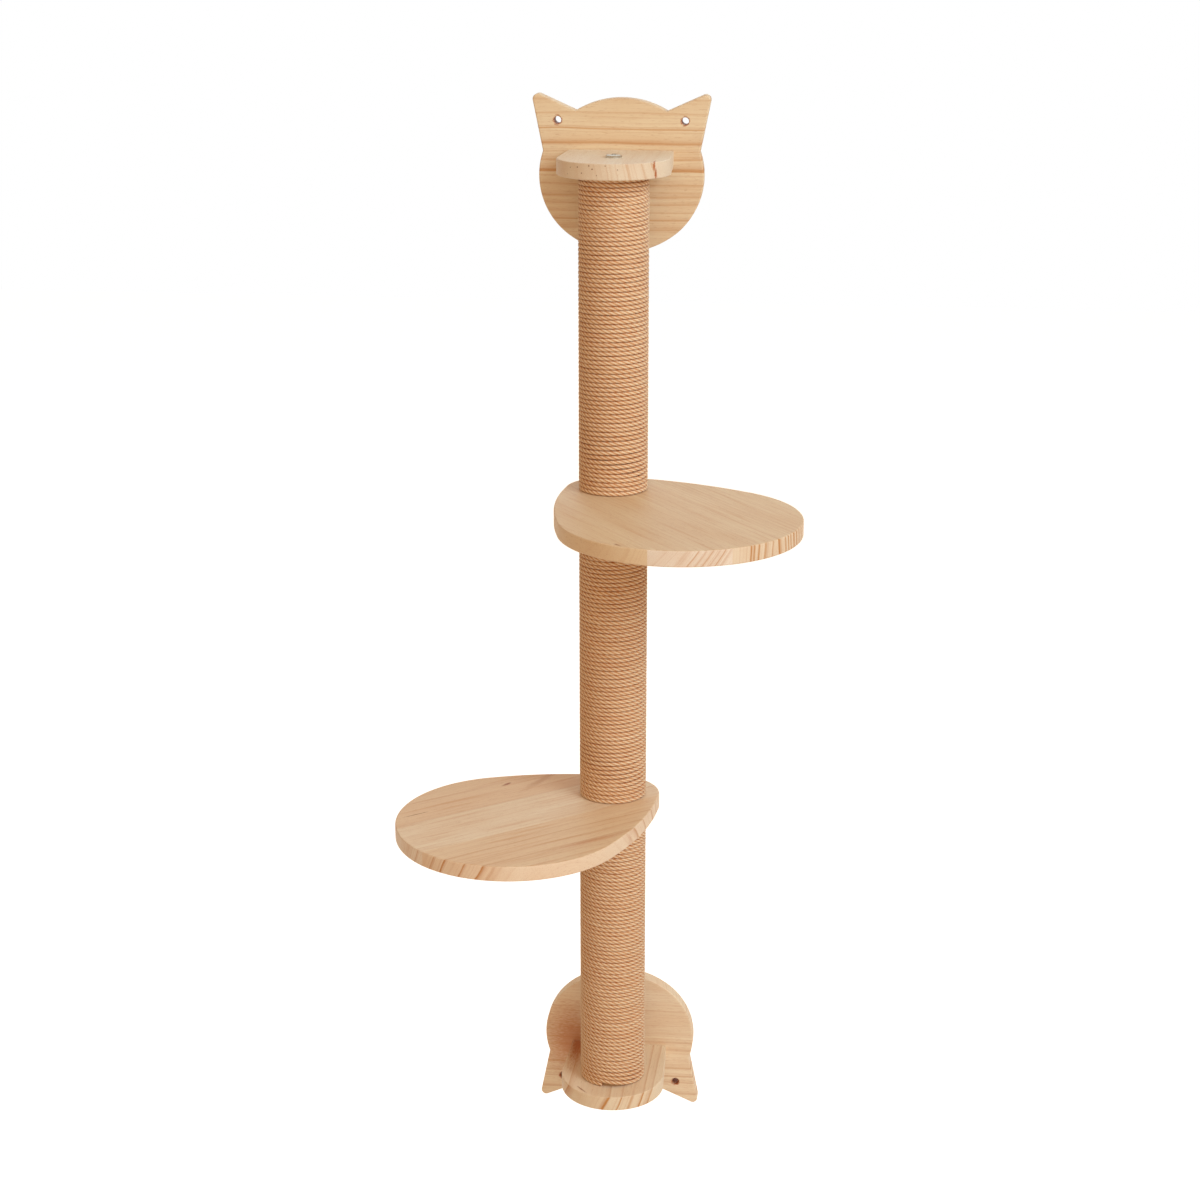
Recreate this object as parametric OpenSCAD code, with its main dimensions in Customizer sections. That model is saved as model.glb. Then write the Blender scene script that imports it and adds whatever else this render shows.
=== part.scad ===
// Wall mounted cat tree. Two cat-head wall plates carry a column of three posts
// wrapped in jute rope, and two egg-shaped shelves are clamped between the posts.
// Millimetres. X runs to the right, Y into the wall and Z up. The origin is midway
// between the upper plate's two wall holes, on the plate's back face.

/* [Boards] */
// Thickness of the two wall plates
plate_t = 15; // [10:0.5:22]
// Thickness of the two brackets
bracket_t = 15; // [10:0.5:22]
// Thickness of the two shelves
shelf_t = 15; // [10:0.5:22]

/* [Wall plates] */
// Radius of the cheeks of the head outline
cheek_r = 69; // [60:0.5:78]
// How far each cheek's centre lies to the side of the head's middle
cheek_shift = 8.9; // [4:0.1:14]
// How far the centres of the crown and chin arcs lie across the head's middle
crown_shift = 12.3; // [6:0.1:18]
// Width across the two ear tips
ear_span = 167; // [158:1:180]
// Radius of the rounded ear tips
ear_tip_r = 5; // [3:0.5:9]
// How far the ear tips rise above the crown
ear_rise = 3.5; // [0:0.5:10]
// Half the distance between the inner feet of the ears
ear_inner_x = 43; // [34:0.5:50]
// Height of the ear tips above the outer feet of the ears
ear_outer_drop = 52.5; // [44:0.5:60]
// Radius of the wall holes
wall_hole_r = 3.5; // [2.5:0.25:4.5]
// Distance between the two wall holes of a plate
wall_hole_spacing = 120; // [108:1:130]
// Distance from the ear tips to the wall holes
wall_hole_drop = 24; // [18:0.5:30]
// Width of the bevel at the mouth of a wall hole
wall_hole_bevel = 0.8; // [0.4:0.1:1.5]

/* [Brackets] */
// How far the ear tips reach past the bracket's outer face
ear_reach = 51; // [40:0.5:60]
// Distance from the wall to the axis of the posts
axis_off = 78; // [70:0.5:95]
// Radius of the bracket's round front
bracket_r = 52.5; // [42:0.5:58]
// Width of the bracket where it meets the plate
bracket_back_w = 99; // [84:1:110]

/* [Posts] */
// Length of each post
post_len = 296; // [200:1:400]
// Outer radius of the rope winding
rope_r = 33; // [31:0.5:38]
// Outer radius of the post tubes
tube_r = 28.5; // [24:0.5:29.5]
// Wall of the post tubes
tube_wall = 3; // [2:0.25:5]
// Length of the wooden plugs in the tube ends
plug_len = 22; // [20:0.5:40]

/* [Rope] */
// Number of drawn loops on each post
rope_loops = 24; // [6:1:24]
// Space between neighbouring loops
rope_gap = 0.6; // [0.5:0.05:1.5]
// Height of the slope at the band's outer edges
rope_slope = 1.3; // [0.5:0.1:2]

/* [Shelves] */
// Radius of a shelf's wide end
shelf_r = 112.5; // [90:0.5:140]
// Distance from the post's axis to the centre of the wide end
shelf_arm = 119.5; // [100:0.5:150]
// Radius of a shelf's heel, the narrow end round the post
heel_r = 46; // [42:0.5:60]
// Radius of a shelf's long sides, which curve outwards
shelf_side_r = 310; // [250:5:600]
// Direction of the upper shelf, in degrees from X towards the wall
upper_shelf_turn = -53.5; // [-160:0.5:-20]
// Direction of the lower shelf, in degrees from X towards the wall
lower_shelf_turn = -138; // [-160:0.5:-20]

/* [Hardware] */
// Radius of the bolts' and studs' thread
thread_r = 4; // [3:0.25:5]
// Radius of an end bolt's head
bolt_head_r = 7.4; // [6:0.1:9]
// Height of an end bolt's head
bolt_head_h = 2.8; // [2.2:0.1:5]
// Bevel at the rim of an end bolt's head
bolt_head_bevel = 0.6; // [0.3:0.1:1]
// Width across the corners of the bolt's hexagon socket
bolt_socket_w = 5.8; // [4:0.1:6.5]
// Depth of the bolt's hexagon socket
bolt_socket_h = 1.9; // [1:0.1:2.1]
// How far an end bolt runs into its post
bolt_grip = 19; // [15:0.5:28]
// How far a stud runs into each post
stud_grip = 19; // [15:0.5:28]
// Bevel at the ends of the threads
thread_bevel = 0.8; // [0.3:0.1:1.2]
// Radius of a threaded insert
insert_r = 5.8; // [5.3:0.1:8]
// Length of a threaded insert
insert_len = 15; // [10:0.5:18]
// Radius of an insert's flange
insert_flange_r = 8; // [7:0.25:10]
// Thickness of an insert's flange
insert_flange_t = 1.2; // [0.8:0.1:2]
// Radius of a bracket screw's shank
screw_r = 2; // [1.5:0.1:2.5]
// Length of a bracket screw with its head
screw_len = 45; // [30:0.5:60]
// Radius of a bracket screw's head
screw_head_r = 4; // [3.2:0.1:5]
// Height of a bracket screw's head
screw_head_h = 2.4; // [1.8:0.1:3.5]
// Length of a bracket screw's point
screw_point = 4; // [2:0.5:6]
// Distance between the two screws of a bracket
screw_spacing = 64; // [40:1:80]
// Length of each arm of the screw's cross recess
screw_cross_w = 3.6; // [2.5:0.1:4.5]
// Width of each arm of the screw's cross recess
screw_cross_t = 0.9; // [0.6:0.1:1.2]
// Depth of the screw's cross recess
screw_cross_h = 1.4; // [0.8:0.1:1.8]
// How far a screw head sits below the plate's back face
screw_sink = 0.4; // [0.2:0.1:1]

/* [Clearances] */
// Round a bolt or stud in a bored board or plug
bore_clear = 0.4; // [0.2:0.05:0.6]
// Between a thread and its insert
thread_clear = 0.1; // [0.05:0.01:0.2]
// Between a plug and its tube, and an insert and its plug
glue_clear = 0.1; // [0.05:0.01:0.2]
// Between a wood screw and the wood
screw_clear = 0.1; // [0.05:0.01:0.2]
// Between the rope and the tube or the boards
rope_clear = 0.3; // [0.25:0.05:0.5]
// How far an insert's flange lies below the plug's end face
flush_clear = 0.2; // [0.1:0.05:0.4]

/* [Hidden] */

$fn = 96;
hex_sides = 6;
// Overrun of every cut past the face that it opens
cut = 1;

pine = [0.87, 0.74, 0.57];
pale_pine = [0.87, 0.76, 0.62];
shelf_pine = [0.83, 0.69, 0.53];
jute = [0.77, 0.60, 0.43];
kraft = [0.66, 0.54, 0.41];
plug_wood = [0.80, 0.67, 0.50];
zinc = [0.78, 0.78, 0.76];

// Heights of the stack, from the ear tips of the upper plate down
ear_top_z = wall_hole_drop;
upper_bracket_top_z = ear_top_z - ear_reach;
upper_post_top_z = upper_bracket_top_z - bracket_t;
upper_shelf_top_z = upper_post_top_z - post_len;
middle_post_top_z = upper_shelf_top_z - shelf_t;
lower_shelf_top_z = middle_post_top_z - post_len;
lower_post_top_z = lower_shelf_top_z - shelf_t;
lower_bracket_top_z = lower_post_top_z - post_len;
lower_bracket_base_z = lower_bracket_top_z - bracket_t;
lower_ear_z = lower_bracket_base_z - ear_reach;
lower_hole_z = lower_ear_z + wall_hole_drop;

// Head outline, in the plate's own frame with its wall holes at height zero
crown_r = cheek_r + norm([cheek_shift, crown_shift]);
crown_top_z = ear_top_z - ear_rise;
head_mid_z = crown_top_z - (crown_r - crown_shift);
arc_share = crown_r / norm([cheek_shift, crown_shift]);
ear_tip_x = ear_span / 2 - ear_tip_r;
ear_tip_z = ear_top_z - ear_tip_r;
ear_outer_z = ear_top_z - ear_outer_drop;
ear_inner_z = head_mid_z - crown_shift + sqrt(crown_r ^ 2 - ear_inner_x ^ 2);
ear_outer_x = cheek_shift + sqrt(cheek_r ^ 2 - (ear_outer_z - head_mid_z) ^ 2);
// How far an ear's straight edges run on into the head, and bite into the tip
ear_root = 4;
ear_tip_bite = 0.05;

// Shelf outline, from the post's axis out. The side arcs bite into the end circles
// where they would only touch them.
side_bite = 0.2;
side_to_wide = shelf_side_r - shelf_r + side_bite;
side_to_heel = shelf_side_r - heel_r + side_bite;
side_x = (side_to_heel ^ 2 - side_to_wide ^ 2 + shelf_arm ^ 2) / (2 * shelf_arm);
side_y = sqrt(side_to_heel ^ 2 - side_x ^ 2);
wide_touch_x = shelf_arm + shelf_r * (shelf_arm - side_x) / side_to_wide;
heel_touch_x = -heel_r * side_x / side_to_heel;

// Fasteners
bolt_len = bracket_t + bolt_grip;
plug_r = tube_r - tube_wall - glue_clear;
insert_seat_h = insert_len + flush_clear + glue_clear;
screw_x = screw_spacing / 2;
pilot_depth = screw_len + screw_sink + screw_clear;

// Rope band: turns that lie level and climb one pitch behind the post
rings_per_loop = 15;
climb_rings = 3;
level_rings = rings_per_loop - climb_rings;
band_rings = rope_loops * rings_per_loop - climb_rings;
ring_turn = 360 / rings_per_loop;
winding_h = post_len - 2 * rope_clear;
loop_pitch = (winding_h + rope_gap) / rope_loops;
band_h = loop_pitch - rope_gap;
band_inner_r = (tube_r + rope_clear) / cos(ring_turn / 2);
back_turn = 90;
first_ring_turn = back_turn + climb_rings * ring_turn / 2;
band_section = [
    [band_inner_r, 0],
    [rope_r, rope_slope],
    [rope_r, band_h - rope_slope],
    [band_inner_r, band_h],
];
section_points = len(band_section);

// Least distance from point p to the line from a to b
function line_gap(p, a, b) =
    let (ab = b - a, t = min(1, max(0, (p - a) * ab / (ab * ab))))
    norm(p - a - t * ab);

// Where the line from point p touches the circle at c: side is 1 or -1
function touch_point(p, c, r, side) =
    let (d = c - p, gap = norm(d), turn = side * asin(r / gap), reach = sqrt(gap ^ 2 - r ^ 2))
    p + reach / gap * [d.x * cos(turn) - d.y * sin(turn), d.x * sin(turn) + d.y * cos(turn)];

// The point that lies a distance past b on the line from a
function point_past(a, b, distance) = b + distance / norm(b - a) * (b - a);

// Share of a pitch that the band has climbed at ring i
function climb_share(i) =
    floor(i / rings_per_loop) + max(0, (i % rings_per_loop - level_rings) / climb_rings);

// The section's points at ring i of the band
function ring_points(i) =
    let (turn = first_ring_turn + i * ring_turn, z = climb_share(i) * loop_pitch)
    [for (p = band_section) [p[0] * cos(turn), p[0] * sin(turn), z + p[1]]];

// The four points between side k of ring i and the next ring
function side_quad(i, k) =
    let (a = i * section_points, n = (k + 1) % section_points)
    [a + k, a + n, a + section_points + n, a + section_points + k];

band_points = [for (i = [0:band_rings]) each ring_points(i)];
band_end = band_rings * section_points;
band_faces = [
    [0, 2, 1],
    [0, 3, 2],
    for (i = [0:band_rings - 1], k = [0:section_points - 1])
        let (q = side_quad(i, k)) each [[q[0], q[1], q[2]], [q[0], q[2], q[3]]],
    [band_end, band_end + 1, band_end + 2],
    [band_end, band_end + 2, band_end + 3],
];

// Least gap of the band to itself, from each loop's top to the loop above: the
// stretches of the upper loop before and after the point are both measured
loop_gaps = [
    for (i = [1:band_rings - rings_per_loop], next = [-1, 0])
        let (low = ring_points(i), a = ring_points(i + rings_per_loop + next))
        let (b = ring_points(min(i + rings_per_loop + next + 1, band_rings)))
        a == b ? rope_gap : min(line_gap(low[3], a[0], b[0]), line_gap(low[2], a[1], b[1])),
];
echo(least_rope_gap = min(loop_gaps));
echo(overall_height = ear_top_z - lower_ear_z);
echo(plate_height = ear_top_z - (head_mid_z + crown_shift - crown_r));

// Puts a piece on the posts' axis at height z
module on_axis(z) {
    translate([0, -axis_off, z]) children();
}

// Turns a plan outline's sheet so that it stands against the wall
module against_wall(t) {
    rotate([90, 0, 0]) linear_extrude(t) children();
}

// Oval head outline of four arcs that meet without a corner
module head_outline() {
    translate([0, head_mid_z]) {
        for (side = [-1, 1]) translate([side * cheek_shift, 0]) circle(cheek_r);
        intersection() {
            translate([0, crown_shift]) circle(crown_r);
            translate([0, -crown_shift]) circle(crown_r);
            square([2 * cheek_shift * arc_share, 2 * crown_r], center = true);
        }
    }
}

// Right ear: straight edges from inside the head to inside the rounded tip
module ear_outline() {
    tip = [ear_tip_x, ear_tip_z];
    inner_foot = [ear_inner_x, ear_inner_z];
    outer_foot = [ear_outer_x, ear_outer_z];
    inner_touch = touch_point(inner_foot, tip, ear_tip_r - ear_tip_bite, 1);
    outer_touch = touch_point(outer_foot, tip, ear_tip_r - ear_tip_bite, -1);
    translate(tip) circle(ear_tip_r);
    polygon([
        [0, head_mid_z],
        point_past(outer_touch, outer_foot, ear_root),
        outer_touch,
        tip,
        inner_touch,
        point_past(inner_touch, inner_foot, ear_root),
    ]);
}

// Wall plate with its ears up, its wall holes at height zero
module wall_plate() {
    difference() {
        against_wall(plate_t) {
            head_outline();
            ear_outline();
            mirror([1, 0]) ear_outline();
        }
        for (side = [-1, 1]) translate([side * wall_hole_spacing / 2, 0, 0]) wall_hole();
        for (side = [-1, 1]) translate([side * screw_x, 0, upper_bracket_top_z - bracket_t / 2]) screw_hole();
    }
}

// Wall hole through the plate, bevelled at the front
module wall_hole() {
    rotate([90, 0, 0]) {
        translate([0, 0, -cut]) cylinder(r = wall_hole_r, h = plate_t + 2 * cut);
        translate([0, 0, plate_t - wall_hole_bevel])
            cylinder(r1 = wall_hole_r, r2 = wall_hole_r + wall_hole_bevel, h = wall_hole_bevel);
    }
}

// Countersunk hole for a bracket screw, from the plate's back
module screw_hole() {
    rotate([90, 0, 0]) {
        translate([0, 0, -cut]) cylinder(r = screw_r + screw_clear, h = plate_t + 2 * cut);
        translate([0, 0, -cut]) cylinder(r = screw_head_r + screw_clear, h = screw_sink + cut);
        translate([0, 0, screw_sink])
            cylinder(r1 = screw_head_r + screw_clear, r2 = screw_r + screw_clear, h = screw_head_h);
    }
}

// Wood screw from the plate's back face into the bracket
module bracket_screw() {
    rotate([90, 0, 0]) translate([0, 0, screw_sink]) difference() {
        union() {
            cylinder(r1 = screw_head_r, r2 = screw_r, h = screw_head_h);
            cylinder(r = screw_r, h = screw_len - screw_point);
            translate([0, 0, screw_len - screw_point]) cylinder(r1 = screw_r, r2 = 0, h = screw_point);
        }
        for (turn = [0, back_turn]) rotate([0, 0, turn])
            translate([-screw_cross_w / 2, -screw_cross_t / 2, -cut])
                cube([screw_cross_w, screw_cross_t, screw_cross_h + cut]);
    }
}

// The two screws of one bracket, at the height of the bracket's middle
module screw_pair(z) {
    for (side = [-1, 1]) translate([side * screw_x, 0, z]) bracket_screw();
}

// Bracket board: straight sides that widen from the plate to a round front
module bracket(z) {
    back_y = axis_off - plate_t;
    corner = [bracket_back_w / 2, back_y];
    touch = touch_point(corner, [0, 0], bracket_r, 1);
    difference() {
        on_axis(z) linear_extrude(bracket_t) {
            circle(bracket_r);
            polygon([[-corner.x, corner.y], [-touch.x, touch.y], [0, 0], touch, corner]);
        }
        on_axis(z - cut) cylinder(r = thread_r + bore_clear, h = bracket_t + 2 * cut);
        for (side = [-1, 1]) translate([side * screw_x, 0, z + bracket_t / 2])
            rotate([90, 0, 0]) cylinder(r = screw_r + screw_clear, h = pilot_depth);
    }
}

// Threaded rod from height 0 to its length, bevelled at the far end
module thread(length) {
    cylinder(r = thread_r, h = length - thread_bevel);
    translate([0, 0, length - thread_bevel])
        cylinder(r1 = thread_r, r2 = thread_r - thread_bevel, h = thread_bevel);
}

// Flat-headed end bolt, its head standing on height 0 and its thread going down
module end_bolt() {
    difference() {
        union() {
            cylinder(r = bolt_head_r, h = bolt_head_h - bolt_head_bevel);
            translate([0, 0, bolt_head_h - bolt_head_bevel])
                cylinder(r1 = bolt_head_r, r2 = bolt_head_r - bolt_head_bevel, h = bolt_head_bevel);
        }
        translate([0, 0, bolt_head_h - bolt_socket_h])
            cylinder(d = bolt_socket_w, h = bolt_socket_h + cut, $fn = hex_sides);
    }
    mirror([0, 0, 1]) thread(bolt_len);
}

// Stud through a shelf, seen from the middle of the shelf's thickness
module shelf_stud(shelf_top_z) {
    on_axis(shelf_top_z - shelf_t / 2) {
        thread(shelf_t / 2 + stud_grip);
        mirror([0, 0, 1]) thread(shelf_t / 2 + stud_grip);
    }
}

// Paper tube inside a post whose top is at height z
module post_tube(z) {
    on_axis(z - post_len) difference() {
        cylinder(r = tube_r, h = post_len);
        translate([0, 0, -cut]) cylinder(r = tube_r - tube_wall, h = post_len + 2 * cut);
    }
}

// Plug that closes a tube's end at height 0 and reaches down into it
module end_plug() {
    mirror([0, 0, 1]) difference() {
        cylinder(r = plug_r, h = plug_len);
        translate([0, 0, -cut]) cylinder(r = thread_r + bore_clear, h = plug_len + 2 * cut);
        translate([0, 0, -cut]) cylinder(r = insert_r + glue_clear, h = insert_seat_h + cut);
        translate([0, 0, -cut])
            cylinder(r = insert_flange_r + glue_clear, h = flush_clear + insert_flange_t + glue_clear + cut);
    }
}

// Threaded insert with its flange, sunk in a plug whose face is at height 0
module end_insert() {
    mirror([0, 0, 1]) translate([0, 0, flush_clear]) difference() {
        union() {
            cylinder(r = insert_flange_r, h = insert_flange_t);
            cylinder(r = insert_r, h = insert_len);
        }
        translate([0, 0, -cut]) cylinder(r = thread_r + thread_clear, h = insert_len + 2 * cut);
    }
}

// Puts a piece at a post's top end, or turned over at its bottom end
module at_post_top(z) {
    on_axis(z) children();
}
module at_post_bottom(z) {
    on_axis(z - post_len) mirror([0, 0, 1]) children();
}

// Rope wound on a post whose top is at height z. Each drawn loop is a flat band
// as high as three or so turns of the thin rope, and as thick as the rope.
module rope_winding(z) {
    on_axis(z - post_len + rope_clear) polyhedron(points = band_points, faces = band_faces);
}

// Egg outline of a shelf: a wide round end, a narrow heel and the long arcs between
module shelf_outline() {
    translate([shelf_arm, 0]) circle(shelf_r);
    circle(heel_r);
    intersection() {
        translate([side_x, -side_y]) circle(shelf_side_r);
        translate([side_x, side_y]) circle(shelf_side_r);
        translate([heel_touch_x, -shelf_r]) square([wide_touch_x - heel_touch_x, 2 * shelf_r]);
    }
}

// Shelf board with its top at height z, pointing in the direction turn
module shelf(z, turn) {
    on_axis(z - shelf_t) rotate([0, 0, turn]) difference() {
        linear_extrude(shelf_t) shelf_outline();
        translate([0, 0, -cut]) cylinder(r = thread_r + bore_clear, h = shelf_t + 2 * cut);
    }
}

module upper_wall_plate() {
    color(pine) wall_plate();
}
module lower_wall_plate() {
    color(pine) translate([0, 0, lower_hole_z]) mirror([0, 0, 1]) wall_plate();
}
module upper_bracket() {
    color(pale_pine) bracket(upper_bracket_top_z - bracket_t);
}
module lower_bracket() {
    color(pale_pine) bracket(lower_bracket_base_z);
}
module upper_bracket_screws() {
    color(zinc) screw_pair(upper_bracket_top_z - bracket_t / 2);
}
module lower_bracket_screws() {
    color(zinc) screw_pair(lower_bracket_top_z - bracket_t / 2);
}
module upper_end_bolt() {
    color(zinc) on_axis(upper_bracket_top_z) end_bolt();
}
module lower_end_bolt() {
    color(zinc) on_axis(lower_bracket_base_z) mirror([0, 0, 1]) end_bolt();
}
module upper_post_tube() {
    color(kraft) post_tube(upper_post_top_z);
}
module middle_post_tube() {
    color(kraft) post_tube(middle_post_top_z);
}
module lower_post_tube() {
    color(kraft) post_tube(lower_post_top_z);
}
module upper_post_top_plug() {
    color(plug_wood) at_post_top(upper_post_top_z) end_plug();
}
module upper_post_bottom_plug() {
    color(plug_wood) at_post_bottom(upper_post_top_z) end_plug();
}
module middle_post_top_plug() {
    color(plug_wood) at_post_top(middle_post_top_z) end_plug();
}
module middle_post_bottom_plug() {
    color(plug_wood) at_post_bottom(middle_post_top_z) end_plug();
}
module lower_post_top_plug() {
    color(plug_wood) at_post_top(lower_post_top_z) end_plug();
}
module lower_post_bottom_plug() {
    color(plug_wood) at_post_bottom(lower_post_top_z) end_plug();
}
module upper_post_top_insert() {
    color(zinc) at_post_top(upper_post_top_z) end_insert();
}
module upper_post_bottom_insert() {
    color(zinc) at_post_bottom(upper_post_top_z) end_insert();
}
module middle_post_top_insert() {
    color(zinc) at_post_top(middle_post_top_z) end_insert();
}
module middle_post_bottom_insert() {
    color(zinc) at_post_bottom(middle_post_top_z) end_insert();
}
module lower_post_top_insert() {
    color(zinc) at_post_top(lower_post_top_z) end_insert();
}
module lower_post_bottom_insert() {
    color(zinc) at_post_bottom(lower_post_top_z) end_insert();
}
module upper_rope() {
    color(jute) rope_winding(upper_post_top_z);
}
module middle_rope() {
    color(jute) rope_winding(middle_post_top_z);
}
module lower_rope() {
    color(jute) rope_winding(lower_post_top_z);
}
module upper_shelf() {
    color(shelf_pine) shelf(upper_shelf_top_z, upper_shelf_turn);
}
module lower_shelf() {
    color(shelf_pine) shelf(lower_shelf_top_z, lower_shelf_turn);
}
module upper_shelf_stud() {
    color(zinc) shelf_stud(upper_shelf_top_z);
}
module lower_shelf_stud() {
    color(zinc) shelf_stud(lower_shelf_top_z);
}

upper_wall_plate();
lower_wall_plate();
upper_bracket();
lower_bracket();
upper_bracket_screws();
lower_bracket_screws();
upper_end_bolt();
lower_end_bolt();
upper_post_tube();
middle_post_tube();
lower_post_tube();
upper_post_top_plug();
upper_post_bottom_plug();
middle_post_top_plug();
middle_post_bottom_plug();
lower_post_top_plug();
lower_post_bottom_plug();
upper_post_top_insert();
upper_post_bottom_insert();
middle_post_top_insert();
middle_post_bottom_insert();
lower_post_top_insert();
lower_post_bottom_insert();
upper_rope();
middle_rope();
lower_rope();
upper_shelf();
lower_shelf();
upper_shelf_stud();
lower_shelf_stud();
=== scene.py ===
"""Looks of the wall mounted cat tree: pine boards, jute windings, hardware and a plain studio."""

from __future__ import annotations

import logging
import math
from dataclasses import dataclass, field
from enum import Enum
from typing import Callable, Sequence, Union

import bpy
import numpy as np
from mathutils import Matrix, Vector


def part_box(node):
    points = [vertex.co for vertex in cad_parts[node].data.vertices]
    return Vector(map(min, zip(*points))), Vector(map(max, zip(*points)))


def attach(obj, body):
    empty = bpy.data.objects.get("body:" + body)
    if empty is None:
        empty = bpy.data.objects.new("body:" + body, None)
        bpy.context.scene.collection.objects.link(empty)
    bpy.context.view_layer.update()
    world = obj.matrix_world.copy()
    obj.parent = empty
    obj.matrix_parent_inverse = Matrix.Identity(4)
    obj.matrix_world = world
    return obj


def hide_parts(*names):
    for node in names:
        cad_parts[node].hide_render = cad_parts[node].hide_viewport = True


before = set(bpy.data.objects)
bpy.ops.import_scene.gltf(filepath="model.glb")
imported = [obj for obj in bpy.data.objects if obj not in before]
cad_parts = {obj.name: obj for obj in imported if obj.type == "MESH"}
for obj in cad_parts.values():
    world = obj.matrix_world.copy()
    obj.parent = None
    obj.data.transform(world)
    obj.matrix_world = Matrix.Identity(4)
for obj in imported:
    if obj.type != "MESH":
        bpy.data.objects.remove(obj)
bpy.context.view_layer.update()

log = logging.getLogger("cat_tree")

Colour = tuple[float, float, float, float]
Socket = bpy.types.NodeSocket
Value = Union[Socket, float]
Inputs = Union[dict[str, object], Sequence[object]]

MM = 0.001
POST_Y = -0.078
HOLE_X = 0.06
SCREW_X = 0.032
UPPER_HOLE_Z = 0.0
LOWER_HOLE_Z = -1.002
UPPER_SCREW_Z = -0.0345
LOWER_SCREW_Z = -0.9675
MOUTH_REACH = 6 * MM
MERGE_REACH = 0.001 * MM
CUT_OFFSET = 0.3 * MM
FLAT_SHARE = 0.99
ASIDE_SHARE = 0.2
SMOOTH_BELOW = math.radians(32)
FLAT_BELOW = math.radians(0.5)
EDGE_SEGMENTS = 3
POINTS_PER_STRAND = 3
PRESS_LIMIT = 1.07
PRESS_SHARPNESS = 6
GROOVE_SHARES = (0.45, 0.85)
STEEPEST_SLANT = 2.0
LINES_PER_RAMP = 7
KNEE_PLACE = 0.3
KNEE_LEVEL = 0.42


def srgb(red: int, green: int, blue: int) -> Colour:
    """Turns a screen colour into the linear colour that a shader takes.

    Args:
        red: Red from 0 to 255.
        green: Green from 0 to 255.
        blue: Blue from 0 to 255.

    Returns:
        The linear colour with full alpha.
    """
    linear = []
    for part in (red, green, blue):
        share = part / 255
        linear.append(share / 12.92 if share <= 0.04045 else ((share + 0.055) / 1.055) ** 2.4)
    return (linear[0], linear[1], linear[2], 1.0)


def grey(level: float) -> Colour:
    """Gives the grey of a linear level."""
    return (level, level, level, 1.0)


class Body(Enum):
    """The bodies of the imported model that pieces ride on."""

    COLUMN = "column"
    UPPER_SHELF = "upper_shelf"
    LOWER_SHELF = "lower_shelf"


class Slot(Enum):
    """The record's material slots, carried along with the new pieces."""

    PLATE = "plate_pine"
    BRACKET = "bracket_pine"
    SHELF = "shelf_pine"
    ROPE = "jute_rope"
    STEEL = "zinc_steel"


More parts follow.
